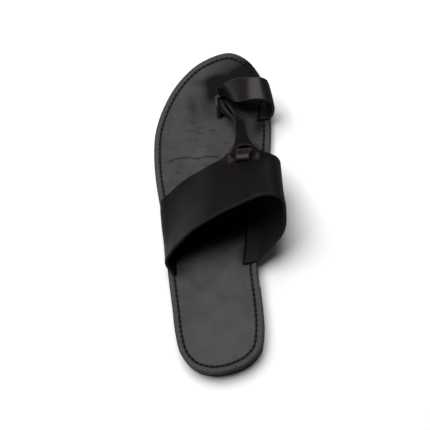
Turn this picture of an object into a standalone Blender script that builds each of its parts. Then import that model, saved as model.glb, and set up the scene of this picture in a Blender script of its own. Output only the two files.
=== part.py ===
# Toe ring sandal for the left foot.
# A leather footbed lies on an outsole with a low heel. A wide band crosses the instep,
# a ring holds the big toe, and a doubled strap runs from the band down between the toes.
# Metres. The toe points along +Y, the inner side of the foot is +X and up is +Z.

import math
from collections import namedtuple

import bmesh
import bpy
from mathutils import Vector

# Sizes of the sole
SOLE_LENGTH = 0.2515
BALL_WIDTH = 0.0885
FOOTBED_THICKNESS = 0.0035
OUTSOLE_THICKNESS = 0.0040
HEEL_HEIGHT = 0.0050
HEEL_LENGTH = 0.0650
HEEL_HOLLOW = 0.0040
HEEL_HOLLOW_RADIUS = 0.0900
WAIST_LENGTH = 0.0700
SPRING_LENGTH = 0.0460
TOE_SPRING = 0.0025
EDGE_ROUND = 0.0006

# Sizes of the straps
STRAP_THICKNESS = 0.0022
INSTEP_HEIGHT = 0.0500
RING_HEIGHT = 0.0250
TOE_STRAP_HEIGHT = 0.0280
TONGUE_WIDTH = 0.0100
TONGUE_RISE = 0.0038
TONGUE_TAIL = 0.0036
FLARE_ARCH = 0.0048
SLIT_SETBACK = 0.0088
LAYER_SPREAD = 0.0014

# Fits
CLEARANCE = 0.0003
TAIL_LIFT = 0.00015
SLOT_PLAY = 0.0004
SLIT_PLAY = 0.0006
TOE_SLOT_JOIN = 0.0014

# Fineness of the curves
OUTLINE_STEPS = 5
STRAP_STEPS = 3
BEND_STEPS = 4
ACROSS_STEPS = 6
BEND_STRIPS = 12
HOLLOW_SEGMENTS = 96
SHARP_ANGLE = 35
RIM_ANGLE = 50

# How many times its wall a cutter is long
CUTTER_REACH = 6

# How far a strap bends over, in degrees, where it leaves its slot
INNER_TURN = 90
OUTER_TURN = 50
TOE_TURN = 20

# The rows of the toe strap that only its flare has, and the row where it starts to twist
FLARE_ROWS = 2
TWIST_ROW = 8

# The edge of the footbed from heel to toe: along is a share of the sole's length,
# outer and inner are shares of the ball width
SoleRow = namedtuple("SoleRow", "along outer inner")
HEEL_TIP = SoleRow(0.000, -0.037, -0.037)
TOE_TIP = SoleRow(1.000, 0.158, 0.158)
SOLE_ROWS = [SoleRow(*row) for row in (
    (0.020, -0.217, 0.206),
    (0.060, -0.312, 0.330),
    (0.120, -0.354, 0.365),
    (0.200, -0.376, 0.362),
    (0.300, -0.405, 0.339),
    (0.400, -0.431, 0.349),
    (0.500, -0.464, 0.392),
    (0.600, -0.503, 0.449),
    (0.680, -0.516, 0.482),
    (0.760, -0.499, 0.497),
    (0.840, -0.423, 0.485),
    (0.910, -0.303, 0.436),
    (0.965, -0.138, 0.341),
    (0.992, 0.023, 0.240),
)]

# Where a strap dives through the footbed, as a line from its back to its front corner:
# x is a share of the ball width, y a share of the sole's length
Slot = namedtuple("Slot", "back_x back_y front_x front_y")
BAND_INNER_SLOT = Slot(0.241, 0.317, 0.316, 0.549)
BAND_OUTER_SLOT = Slot(-0.348, 0.299, -0.393, 0.529)
RING_INNER_SLOT = Slot(0.412, 0.771, 0.432, 0.824)
RING_TOE_SLOT = Slot(0.090, 0.857, 0.081, 0.884)
STRAP_TOE_SLOT = Slot(0.111, 0.796, 0.102, 0.850)

# The two cut edges of a strap, a row for each fold from one slot to the other:
# x and y are shares as above, up is the height over the footbed as a share of the
# strap's own height
StrapRow = namedtuple("StrapRow", "back_x back_y back_up front_x front_y front_up")
BAND_ROWS = [StrapRow(*row) for row in (
    (0.350, 0.324, 0.04, 0.407, 0.553, 0.04),
    (0.415, 0.339, 0.12, 0.469, 0.565, 0.08),
    (0.506, 0.359, 0.26, 0.529, 0.581, 0.17),
    (0.563, 0.375, 0.37, 0.560, 0.594, 0.26),
    (0.601, 0.394, 0.52, 0.575, 0.604, 0.35),
    (0.617, 0.419, 0.70, 0.565, 0.611, 0.41),
    (0.617, 0.441, 0.86, 0.545, 0.616, 0.45),
    (0.583, 0.453, 0.97, 0.512, 0.620, 0.49),
    (0.477, 0.459, 1.03, 0.450, 0.625, 0.53),
    (0.354, 0.450, 0.99, 0.362, 0.627, 0.56),
    (0.227, 0.436, 0.93, 0.260, 0.625, 0.56),
    (0.101, 0.423, 0.85, 0.153, 0.619, 0.54),
    (-0.029, 0.406, 0.76, 0.028, 0.605, 0.48),
    (-0.164, 0.386, 0.62, -0.102, 0.589, 0.39),
    (-0.275, 0.362, 0.46, -0.226, 0.574, 0.30),
    (-0.353, 0.341, 0.33, -0.328, 0.555, 0.19),
    (-0.400, 0.322, 0.19, -0.405, 0.539, 0.10),
)]
RING_ROWS = [StrapRow(*row) for row in (
    (0.478, 0.770, 0.08, 0.481, 0.827, 0.08),
    (0.511, 0.771, 0.20, 0.504, 0.834, 0.18),
    (0.533, 0.773, 0.42, 0.513, 0.842, 0.36),
    (0.547, 0.777, 0.66, 0.514, 0.849, 0.58),
    (0.544, 0.782, 0.84, 0.507, 0.856, 0.78),
    (0.520, 0.788, 0.96, 0.490, 0.862, 0.93),
    (0.469, 0.793, 1.02, 0.450, 0.866, 1.01),
    (0.385, 0.796, 1.01, 0.382, 0.869, 1.01),
    (0.315, 0.798, 0.93, 0.311, 0.875, 0.92),
    (0.260, 0.801, 0.80, 0.243, 0.880, 0.77),
    (0.218, 0.813, 0.62, 0.181, 0.883, 0.58),
    (0.172, 0.834, 0.40, 0.131, 0.884, 0.38),
    (0.124, 0.852, 0.18, 0.097, 0.883, 0.18),
)]

# The toe strap from the band to the toe slot: left is its outer edge, right its inner
# edge, and spread is how far the lower layer falls away, as a share of LAYER_SPREAD
ToeRow = namedtuple("ToeRow", "left_x left_y left_up right_x right_y right_up spread")
TOE_ROWS = [ToeRow(*row) for row in (
    (0.188, 0.626, 1.04, 0.410, 0.632, 1.03, 0.0),
    (0.203, 0.643, 1.02, 0.380, 0.647, 1.01, 0.0),
    (0.220, 0.668, 0.96, 0.346, 0.668, 0.95, 0.2),
    (0.223, 0.692, 0.89, 0.327, 0.689, 0.88, 0.2),
    (0.221, 0.714, 0.82, 0.315, 0.711, 0.80, 0.2),
    (0.219, 0.734, 0.75, 0.306, 0.731, 0.71, 0.2),
    (0.214, 0.753, 0.67, 0.296, 0.750, 0.61, 0.3),
    (0.201, 0.775, 0.59, 0.273, 0.767, 0.47, 0.6),
    (0.180, 0.796, 0.48, 0.226, 0.780, 0.31, 1.0),
    (0.149, 0.818, 0.33, 0.172, 0.791, 0.18, 1.0),
    (0.121, 0.838, 0.14, 0.126, 0.797, 0.12, 0.4),
)]

# The tongue of the lower layer over the band's front edge: ahead is the way forward
# from the slit as a share of SLIT_SETBACK, up is a share of TONGUE_RISE over the band
TongueRow = namedtuple("TongueRow", "ahead up")
TONGUE_ROWS = [TongueRow(*row) for row in (
    (1.60, -0.36),
    (1.38, -0.30),
    (1.24, 0.24),
    (1.09, 0.75),
    (0.80, 0.95),
    (0.50, 1.00),
    (0.24, 0.90),
    (0.05, 0.62),
    (0.00, 0.25),
)]


def smooth_step(share):
    share = min(1.0, max(0.0, share))
    return share * share * (3.0 - 2.0 * share)


def smooth_path(points, steps, closed=False):
    # Centripetal Catmull-Rom curve through the points, steps pieces between two of them
    count = len(points)
    spans = count if closed else count - 1
    path = []
    for index in range(spans):
        p1 = points[index]
        p2 = points[(index + 1) % count]
        p0 = points[index - 1] if closed or index > 0 else p1 + (p1 - p2)
        p3 = points[(index + 2) % count] if closed or index + 2 < count else p2 + (p2 - p1)
        t1 = math.sqrt((p1 - p0).length)
        t2 = t1 + math.sqrt((p2 - p1).length)
        t3 = t2 + math.sqrt((p3 - p2).length)
        for step in range(steps):
            t = t1 + (t2 - t1) * step / steps
            a1 = p0.lerp(p1, t / t1)
            a2 = p1.lerp(p2, (t - t1) / (t2 - t1))
            a3 = p2.lerp(p3, (t - t2) / (t3 - t2))
            b1 = a1.lerp(a2, t / t2)
            b2 = a2.lerp(a3, (t - t1) / (t3 - t1))
            path.append(b1.lerp(b2, (t - t1) / (t2 - t1)))
    if not closed:
        path.append(points[-1].copy())
    return path


def outsole_bottom(y):
    # The heel lifts the back, the ball is flat on the floor and the toe springs up
    waist = smooth_step((HEEL_LENGTH + WAIST_LENGTH - y) / WAIST_LENGTH)
    spring = max(0.0, (y - SOLE_LENGTH + SPRING_LENGTH) / SPRING_LENGTH)
    return (HEEL_HEIGHT + CLEARANCE) * waist + TOE_SPRING * spring ** 2


def footbed_bottom(y):
    return outsole_bottom(y) + OUTSOLE_THICKNESS + CLEARANCE


def footbed_top(y):
    return footbed_bottom(y) + FOOTBED_THICKNESS


def place(x_share, y_share, up):
    y = y_share * SOLE_LENGTH
    return Vector((x_share * BALL_WIDTH, y, footbed_top(y) + up))


def sole_outline():
    inner = [Vector((row.inner * BALL_WIDTH, row.along * SOLE_LENGTH, 0)) for row in SOLE_ROWS]
    outer = [Vector((row.outer * BALL_WIDTH, row.along * SOLE_LENGTH, 0)) for row in SOLE_ROWS]
    heel = Vector((HEEL_TIP.inner * BALL_WIDTH, HEEL_TIP.along * SOLE_LENGTH, 0))
    toe = Vector((TOE_TIP.inner * BALL_WIDTH, TOE_TIP.along * SOLE_LENGTH, 0))
    return smooth_path([heel] + inner + [toe] + outer[::-1], OUTLINE_STEPS, closed=True)


def make_material(name, color, roughness):
    material = bpy.data.materials.new(name)
    material.use_nodes = True
    shader = material.node_tree.nodes["Principled BSDF"]
    shader.inputs["Base Color"].default_value = (*color, 1.0)
    shader.inputs["Roughness"].default_value = roughness
    shader.inputs["Metallic"].default_value = 0.0
    return material


def add_object(name, mesh, collection, material=None):
    piece = bpy.data.objects.new(name, mesh)
    collection.objects.link(piece)
    if material:
        piece.data.materials.append(material)
    return piece


def finish_mesh(bm, name):
    mesh = bpy.data.meshes.new(name)
    bm.to_mesh(mesh)
    bm.free()
    mesh.shade_smooth()
    mesh.set_sharp_from_angle(angle=math.radians(SHARP_ANGLE))
    return mesh


def flat_plate(name, outline, thickness):
    # A filled 2D curve made a mesh, its coplanar triangles joined again
    curve = bpy.data.curves.new(name, "CURVE")
    curve.dimensions = "2D"
    curve.fill_mode = "BOTH"
    curve.extrude = thickness / 2
    spline = curve.splines.new("POLY")
    spline.points.add(len(outline) - 1)
    spline.use_cyclic_u = True
    for point, corner in zip(spline.points, outline):
        point.co = (corner.x, corner.y, 0.0, 1.0)
    guide = bpy.data.objects.new(name, curve)
    bpy.context.scene.collection.objects.link(guide)
    evaluated = guide.evaluated_get(bpy.context.evaluated_depsgraph_get())
    mesh = bpy.data.meshes.new_from_object(evaluated)
    bpy.data.objects.remove(guide)
    bm = bmesh.new()
    bm.from_mesh(mesh)
    bmesh.ops.remove_doubles(bm, verts=bm.verts, dist=0.000001)
    bmesh.ops.dissolve_limit(bm, angle_limit=0.001, verts=bm.verts, edges=bm.edges)
    bmesh.ops.recalc_face_normals(bm, faces=bm.faces)
    return bm


def cut_across(bm, y, clear=False):
    everything = bm.verts[:] + bm.edges[:] + bm.faces[:]
    cut = bmesh.ops.bisect_plane(
        bm, geom=everything, dist=0.000001, plane_co=(0, y, 0), plane_no=(0, 1, 0),
        clear_outer=clear)
    return [item for item in cut["geom_cut"] if isinstance(item, bmesh.types.BMEdge)]


def bent_plate(name, thickness, bottom, collection, material):
    # A plate of the sole's outline that follows the waist and the toe spring
    bm = flat_plate(name, sole_outline(), thickness)
    for start, length in ((HEEL_LENGTH, WAIST_LENGTH), (SOLE_LENGTH - SPRING_LENGTH, SPRING_LENGTH)):
        for strip in range(BEND_STRIPS):
            cut_across(bm, start + length * strip / BEND_STRIPS)
    cut_across(bm, HEEL_LENGTH + WAIST_LENGTH)
    for vert in bm.verts:
        vert.co.z += thickness / 2 + bottom(vert.co.y)
    sloping = [face for face in bm.faces if len({round(vert.co.z, 6) for vert in face.verts}) > 2]
    bmesh.ops.triangulate(bm, faces=sloping)
    plate = add_object(name, finish_mesh(bm, name), collection, material)
    round_edges(plate)
    return plate


def round_edges(piece):
    bevel = piece.modifiers.new("rounded rim", "BEVEL")
    bevel.width = EDGE_ROUND
    bevel.segments = 2
    bevel.limit_method = "ANGLE"
    bevel.angle_limit = math.radians(RIM_ANGLE)


def make_heel(collection, material, cutters):
    # The heel block ends at the waist in a shallow hollow
    bm = flat_plate("heel", sole_outline(), HEEL_HEIGHT)
    opened = cut_across(bm, HEEL_LENGTH, clear=True)
    bmesh.ops.holes_fill(bm, edges=opened, sides=len(opened))
    bmesh.ops.translate(bm, verts=bm.verts, vec=(0, 0, HEEL_HEIGHT / 2))
    bmesh.ops.recalc_face_normals(bm, faces=bm.faces)
    heel = add_object("heel", finish_mesh(bm, "heel"), collection, material)
    round_edges(heel)
    tool = bmesh.new()
    bmesh.ops.create_cone(
        tool, cap_ends=True, segments=HOLLOW_SEGMENTS, radius1=HEEL_HOLLOW_RADIUS,
        radius2=HEEL_HOLLOW_RADIUS, depth=HEEL_HEIGHT * CUTTER_REACH)
    centre = HEEL_LENGTH - HEEL_HOLLOW + HEEL_HOLLOW_RADIUS
    bmesh.ops.translate(tool, verts=tool.verts, vec=(0, centre, 0))
    add_cut(heel, add_cutter("heel hollow", tool, cutters))
    return heel


def add_cutter(name, bm, collection):
    cutter = add_object(name, finish_mesh(bm, name), collection)
    cutter.hide_render = True
    cutter.display_type = "WIRE"
    return cutter


def add_cut(piece, cutter):
    boolean = piece.modifiers.new(cutter.name, "BOOLEAN")
    boolean.operation = "DIFFERENCE"
    boolean.solver = "EXACT"
    boolean.object = cutter


def slot_ends(slot):
    back = place(slot.back_x, slot.back_y, 0)
    front = place(slot.front_x, slot.front_y, 0)
    return back, front


def box_tool(middle, axes, sizes):
    # A box for cutting: axes are its three directions, sizes its lengths along them
    tool = bmesh.new()
    bmesh.ops.create_cube(tool, size=1.0)
    for vert in tool.verts:
        spot = middle.copy()
        for axis, size, part in zip(axes, sizes, vert.co):
            spot += axis * size * part
        vert.co = spot
    tool.normal_update()
    bmesh.ops.recalc_face_normals(tool, faces=tool.faces)
    return tool


def slot_cutter(name, slot, collection, wall=STRAP_THICKNESS, outer_shift=0.0, extra=0.0):
    # A thin upright box along the slot, with room for a wall of leather. It can be moved
    # to the outer side and made longer at its front end
    back, front = slot_ends(slot)
    along = front - back
    along.z = 0
    length = along.length + 2 * SLOT_PLAY + extra
    along.normalize()
    aside = Vector((along.y, -along.x, 0))
    middle = (back + front) / 2 + along * extra / 2 - aside * outer_shift
    sizes = (wall + 2 * SLOT_PLAY, length, FOOTBED_THICKNESS * CUTTER_REACH)
    return add_cutter(name, box_tool(middle, (aside, along, Vector((0, 0, 1))), sizes), collection)


def tail_end(mouth):
    # Where a strap ends in the footbed, under the mouth of its slot
    return Vector((mouth.x, mouth.y, footbed_bottom(mouth.y) + TAIL_LIFT))


def slot_route(mouth, side, turn):
    # Up through the slot, then bent over towards side by turn degrees
    radius = STRAP_THICKNESS / 2 + SLOT_PLAY
    route = [tail_end(mouth)]
    for step in range(BEND_STEPS + 1):
        angle = math.radians(turn) * step / BEND_STEPS
        aside = side * radius * (1 - math.cos(angle))
        route.append(mouth + Vector((aside, 0, radius * math.sin(angle))))
    return route


def strap_edge(first_route, middle, last_route):
    # One cut edge of a strap: the straight tails stay straight, the rest is smooth
    free = first_route[1:] + middle + last_route[:0:-1]
    return [first_route[0]] + smooth_path(free, STRAP_STEPS) + [last_route[0]]


def strap_edges(rows, height, first_slot, first_turn, last_slot, last_side, last_turn):
    # The back and the front edge of a strap that leaves its first slot to the inner side
    back = [place(row.back_x, row.back_y, row.back_up * height) for row in rows]
    front = [place(row.front_x, row.front_y, row.front_up * height) for row in rows]
    edges = []
    for middle, first, last in zip((back, front), slot_ends(first_slot), slot_ends(last_slot)):
        leaving = slot_route(first, 1, first_turn)
        arriving = slot_route(last, last_side, last_turn)
        edges.append(strap_edge(leaving, middle, arriving))
    return edges


def sheet_between(name, first_edge, second_edge, collection, material, bow=None):
    # The ruled sheet between two edges, given its thickness by Solidify
    bm = bmesh.new()
    lines = []
    for first, second in zip(first_edge, second_edge):
        line = []
        for step in range(ACROSS_STEPS + 1):
            share = step / ACROSS_STEPS
            line.append(bm.verts.new(first.lerp(second, share)))
        lines.append(line)
    if bow:
        bow(lines)
    for line, following in zip(lines, lines[1:]):
        for step in range(ACROSS_STEPS):
            bm.faces.new((line[step], line[step + 1], following[step + 1], following[step]))
    strap = add_object(name, finish_mesh(bm, name), collection, material)
    wall = strap.modifiers.new("leather", "SOLIDIFY")
    wall.thickness = STRAP_THICKNESS
    wall.offset = 0.0
    wall.use_even_offset = True
    return strap


def facing(left, right, index):
    # Unit normal of the ruled sheet at one line, on the strap's upper side
    before = max(0, index - 1)
    after = min(len(left) - 1, index + 1)
    along = (left[after] + right[after]) - (left[before] + right[before])
    return (right[index] - left[index]).cross(along).normalized()


def arch_the_end(lines):
    # The flared end of the toe strap is cut in a hollow arch
    count = STRAP_STEPS * 2
    middle = ACROSS_STEPS // 2
    forward = (lines[count][middle].co - lines[0][middle].co).normalized()
    for index, line in enumerate(lines[:count]):
        for step, vert in enumerate(line):
            aside = 2 * step / ACROSS_STEPS - 1
            vert.co += forward * FLARE_ARCH * (1 - aside ** 2) * (1 - index / count)


def slit_frame(band_back, band_front):
    # Where the toe strap's middle line meets the band, with the way forward there
    strap_x = (TOE_ROWS[0].left_x + TOE_ROWS[0].right_x) / 2 * BALL_WIDTH
    raised = [pair for pair in zip(band_back, band_front)
              if pair[1].z > footbed_top(pair[1].y) + INSTEP_HEIGHT / 4]
    index = min(range(len(raised)), key=lambda item: abs(raised[item][1].x - strap_x))
    back, front = raised[index]
    forward = (front - back).normalized()
    across = (raised[index - 1][1] - raised[index + 1][1]).normalized()
    up = across.cross(forward).normalized()
    return front - forward * SLIT_SETBACK, forward, forward.cross(up), up


def tongue_line(frame, ahead, up):
    # Left and right ends of a line across the tongue, seen along the strap
    middle, forward, across, upward = frame
    point = middle + forward * ahead + upward * up
    half = across * TONGUE_WIDTH / 2
    return point - half, point + half


def make_toe_straps(collection, materials, frame):
    # The upper layer ends in the flare. The lower one goes on as a tongue, over the
    # band's front edge and down through its slit
    back, front = slot_ends(STRAP_TOE_SLOT)
    left = [place(row.left_x, row.left_y, row.left_up * TOE_STRAP_HEIGHT) for row in TOE_ROWS]
    right = [place(row.right_x, row.right_y, row.right_up * TOE_STRAP_HEIGHT) for row in TOE_ROWS]
    spread = [row.spread for row in TOE_ROWS] + [0.0, 0.0]
    left += [front, tail_end(front)]
    right += [back, tail_end(back)]
    edges = [smooth_path(edge[:-1], STRAP_STEPS) + [edge[-1]] for edge in (left, right)]
    sheet_between("toe_strap", *edges, collection, materials["strap"], bow=arch_the_end)

    lines = [tongue_line(frame, 0.0, -TONGUE_TAIL)]
    lines += [tongue_line(frame, row.ahead * SLIT_SETBACK, row.up * TONGUE_RISE)
              for row in reversed(TONGUE_ROWS)]
    for index in range(FLARE_ROWS, len(left)):
        apart = STRAP_THICKNESS + CLEARANCE + LAYER_SPREAD * spread[index]
        middle = (left[index] + right[index]) / 2 - facing(left, right, index) * apart
        half = (right[index] - left[index]) / 2
        if index < TWIST_ROW:
            half *= min(1.0, TONGUE_WIDTH / 2 / half.length)
        lines.append((middle - half, middle + half))
    lower = [smooth_path([line[side] for line in lines[:-1]], STRAP_STEPS) + [lines[-1][side]]
             for side in (0, 1)]
    for edge, mouth in zip(lower, (front, back)):
        edge[-1].z = tail_end(mouth).z
    sheet_between("toe_strap_lining", *lower, collection, materials["lining"])


def make_footbed(collection, material, cutters):
    footbed = bent_plate("footbed", FOOTBED_THICKNESS, footbed_bottom, collection, material)
    layer = STRAP_THICKNESS + CLEARANCE
    add_cut(footbed, slot_cutter("band inner slot", BAND_INNER_SLOT, cutters))
    add_cut(footbed, slot_cutter("band outer slot", BAND_OUTER_SLOT, cutters))
    add_cut(footbed, slot_cutter("ring inner slot", RING_INNER_SLOT, cutters))
    add_cut(footbed, slot_cutter("ring toe slot", RING_TOE_SLOT, cutters))
    add_cut(footbed, slot_cutter(
        "strap toe slot", STRAP_TOE_SLOT, cutters, STRAP_THICKNESS + layer, layer / 2, TOE_SLOT_JOIN))


def make_band(collection, material, cutters):
    back, front = strap_edges(
        BAND_ROWS, INSTEP_HEIGHT, BAND_INNER_SLOT, INNER_TURN, BAND_OUTER_SLOT, -1, OUTER_TURN)
    band = sheet_between("instep_band", back, front, collection, material)
    frame = slit_frame(back, front)
    middle, forward, across, up = frame
    sizes = (TONGUE_WIDTH + 2 * SLIT_PLAY, STRAP_THICKNESS + 2 * SLIT_PLAY, STRAP_THICKNESS * CUTTER_REACH)
    slit = add_cutter("tongue slit", box_tool(middle, (across, forward, up), sizes), cutters)
    add_cut(band, slit)
    return frame


def stand_at_origin(root, pieces):
    # The middle of the sandal's box comes over the origin, its sole on the floor
    bpy.context.view_layer.update()
    graph = bpy.context.evaluated_depsgraph_get()
    corners = [piece.matrix_world @ Vector(corner) for piece in pieces
               for corner in piece.evaluated_get(graph).bound_box]
    low = Vector([min(corner[axis] for corner in corners) for axis in range(3)])
    high = Vector([max(corner[axis] for corner in corners) for axis in range(3)])
    root.location = (-(low.x + high.x) / 2, -(low.y + high.y) / 2, -low.z)


def main():
    for item in list(bpy.data.objects):
        bpy.data.objects.remove(item)
    pieces = bpy.data.collections.new("toe ring sandal")
    cutters = bpy.data.collections.new("cutters")
    bpy.context.scene.collection.children.link(pieces)
    bpy.context.scene.collection.children.link(cutters)
    materials = {
        "sole": make_material("sole leather", (0.035, 0.034, 0.033), 0.55),
        "heel": make_material("heel rubber", (0.020, 0.020, 0.020), 0.65),
        "footbed": make_material("footbed leather", (0.075, 0.072, 0.070), 0.45),
        "strap": make_material("strap leather", (0.030, 0.028, 0.029), 0.40),
        "lining": make_material("lining leather", (0.040, 0.037, 0.036), 0.55),
    }
    bent_plate("outsole", OUTSOLE_THICKNESS, outsole_bottom, pieces, materials["sole"])
    make_heel(pieces, materials["heel"], cutters)
    make_footbed(pieces, materials["footbed"], cutters)
    frame = make_band(pieces, materials["strap"], cutters)
    ring = strap_edges(RING_ROWS, RING_HEIGHT, RING_INNER_SLOT, INNER_TURN, RING_TOE_SLOT, 1, TOE_TURN)
    sheet_between("toe_ring", *ring, pieces, materials["strap"])
    make_toe_straps(pieces, materials, frame)

    root = bpy.data.objects.new("sandal root", None)
    pieces.objects.link(root)
    solids = [piece for piece in pieces.objects if piece.type == "MESH"]
    for item in solids + list(cutters.objects):
        item.parent = root
    stand_at_origin(root, solids)


main()
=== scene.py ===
import math

import bmesh
import bpy
import numpy as np
from mathutils import Matrix, Vector, kdtree, noise


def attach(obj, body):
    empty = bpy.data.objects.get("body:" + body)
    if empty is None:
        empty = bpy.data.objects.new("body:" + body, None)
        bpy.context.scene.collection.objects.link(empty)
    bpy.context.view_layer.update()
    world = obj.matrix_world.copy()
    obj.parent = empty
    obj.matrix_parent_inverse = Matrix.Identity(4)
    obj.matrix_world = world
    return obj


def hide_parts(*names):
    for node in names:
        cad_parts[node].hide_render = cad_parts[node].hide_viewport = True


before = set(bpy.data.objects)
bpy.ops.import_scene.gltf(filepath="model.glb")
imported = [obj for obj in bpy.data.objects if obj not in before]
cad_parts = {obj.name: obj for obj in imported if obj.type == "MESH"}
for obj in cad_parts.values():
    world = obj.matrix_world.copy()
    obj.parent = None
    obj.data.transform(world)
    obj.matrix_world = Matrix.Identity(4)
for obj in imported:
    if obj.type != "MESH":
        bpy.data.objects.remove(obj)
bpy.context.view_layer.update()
print("frame loaded")

# the sole's own sizes, in metres, the same as in the part's source
sole = {
    "length": 0.2515, "ballWidth": 0.0885, "footbed": 0.0035, "outsole": 0.0040,
    "heelHeight": 0.0050, "heelLength": 0.0650, "waist": 0.0700, "spring": 0.0460,
    "toeSpring": 0.0025, "gap": 0.0003, "tailLift": 0.00015,
    "toOrigin": Vector((-0.005182, -0.12575, 0.0)),  # from the heel's tip to the middle of the box
}

# share of the length, then the outer and the inner edge as shares of the ball width
soleRows = [
    (0.020, -0.217, 0.206), (0.060, -0.312, 0.330), (0.120, -0.354, 0.365), (0.200, -0.376, 0.362),
    (0.300, -0.405, 0.339), (0.400, -0.431, 0.349), (0.500, -0.464, 0.392), (0.600, -0.503, 0.449),
    (0.680, -0.516, 0.482), (0.760, -0.499, 0.497), (0.840, -0.423, 0.485), (0.910, -0.303, 0.436),
    (0.965, -0.138, 0.341), (0.992, 0.023, 0.240),
]
heelTip = (-0.037, 0.000)
toeTip = (0.158, 1.000)


def smoothStep(share):
    share = min(1.0, max(0.0, share))
    return share * share * (3.0 - 2.0 * share)


def smoothPath(points, steps, closed=False):
    # centripetal Catmull-Rom through the points
    count = len(points)
    path = []
    for index in range(count if closed else count - 1):
        p1 = points[index]
        p2 = points[(index + 1) % count]
        p0 = points[index - 1] if closed or index > 0 else p1 + (p1 - p2)
        p3 = points[(index + 2) % count] if closed or index + 2 < count else p2 + (p2 - p1)
        t1 = math.sqrt((p1 - p0).length)
        t2 = t1 + math.sqrt((p2 - p1).length)
        t3 = t2 + math.sqrt((p3 - p2).length)
        for step in range(steps):
            t = t1 + (t2 - t1) * step / steps
            a1 = p0.lerp(p1, t / t1)
            a2 = p1.lerp(p2, (t - t1) / (t2 - t1))
            a3 = p2.lerp(p3, (t - t2) / (t3 - t2))
            b1 = a1.lerp(a2, t / t2)
            b2 = a2.lerp(a3, (t - t1) / (t3 - t1))
            path.append(b1.lerp(b2, (t - t1) / (t2 - t1)))
    if not closed:
        path.append(points[-1].copy())
    return path


def outsoleBottom(y):  # y from the heel's tip
    waist = smoothStep((sole["heelLength"] + sole["waist"] - y) / sole["waist"])
    spring = max(0.0, (y - sole["length"] + sole["spring"]) / sole["spring"])
    return (sole["heelHeight"] + sole["gap"]) * waist + sole["toeSpring"] * spring ** 2


def footbedBottom(y):
    return outsoleBottom(y) + sole["outsole"] + sole["gap"]


def footbedTop(y):
    return footbedBottom(y) + sole["footbed"]


def onSole(xShare, yShare, up=0.0):  # a place in the row frame, up from the footbed
    y = yShare * sole["length"]
    return Vector((xShare * sole["ballWidth"], y, footbedTop(y) + up)) + sole["toOrigin"]


def soleOutline(steps):
    inner = [Vector((row[2], row[0], 0)) for row in soleRows]
    outer = [Vector((row[1], row[0], 0)) for row in reversed(soleRows)]
    corners = [Vector((*heelTip, 0))] + inner + [Vector((*toeTip, 0))] + outer
    real = [Vector((c.x * sole["ballWidth"], c.y * sole["length"], 0)) + sole["toOrigin"] for c in corners]
    return smoothPath(real, steps, closed=True)


def addPiece(name, bm, material, nodes, smooth=True):
    mesh = bpy.data.meshes.new(name)
    bm.to_mesh(mesh)
    bm.free()
    if smooth:
        mesh.shade_smooth()
    piece = bpy.data.objects.new(name, mesh)
    bpy.context.scene.collection.objects.link(piece)
    mesh.materials.append(material)
    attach(piece, "root")
    if nodes:
        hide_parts(*nodes)
    return piece


def setLayer(mesh, name, values):
    layer = mesh.attributes.get(name) or mesh.attributes.new(name, "FLOAT", "POINT")
    layer.data.foreach_set("value", np.ascontiguousarray(values, dtype=np.float32))


def positions(mesh):
    flat = np.zeros(len(mesh.vertices) * 3, np.float32)
    mesh.vertices.foreach_get("co", flat)
    return flat.reshape(-1, 3).astype(float)


def setPositions(mesh, places):
    mesh.vertices.foreach_set("co", places.astype(np.float32).ravel())
    mesh.update()


# materials
def addNode(tree, kind, spot=(0, 0), **settings):
    node = tree.nodes.new(kind)
    node.location = spot
    for key, value in settings.items():
        if key in node.inputs:
            node.inputs[key].default_value = value
        else:
            setattr(node, key, value)
    return node


def mixColors(tree, first, second, factor, mode="MIX"):
    node = addNode(tree, "ShaderNodeMix", data_type="RGBA", blend_type=mode)
    for socket, value in ((node.inputs[0], factor), (node.inputs[6], first), (node.inputs[7], second)):
        if isinstance(value, bpy.types.NodeSocket):
            tree.links.new(value, socket)
        else:
            socket.default_value = value
    return node.outputs[2]


def maths(tree, operation, first, second=0.0, third=0.0):
    node = addNode(tree, "ShaderNodeMath", operation=operation)
    for socket, value in zip(node.inputs, (first, second, third)):
        if isinstance(value, bpy.types.NodeSocket):
            tree.links.new(value, socket)
        else:
            socket.default_value = value
    return node.outputs[0]


def scaledRange(tree, value, low, high, outLow, outHigh):
    node = addNode(tree, "ShaderNodeMapRange")
    tree.links.new(value, node.inputs[0])
    for socket, number in zip(list(node.inputs)[1:5], (low, high, outLow, outHigh)):
        if isinstance(number, bpy.types.NodeSocket):
            tree.links.new(number, socket)
        else:
            socket.default_value = number
    return node.outputs[0]


# dressed leather's patterns: how fine they are, their shares of its colour and its height
leatherPattern = {
    "speck": 900.0, "folds": 420.0, "pores": 2600.0, "cloudShare": 0.72, "speckShare": 0.28,
    "worn": (0.36, 0.66), "glossy": (0.3, 0.7), "poreReach": 0.25, "poreDepth": -0.35,
    "grainShare": 0.55, "foldShare": 0.7, "bump": 0.00022,
}


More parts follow.
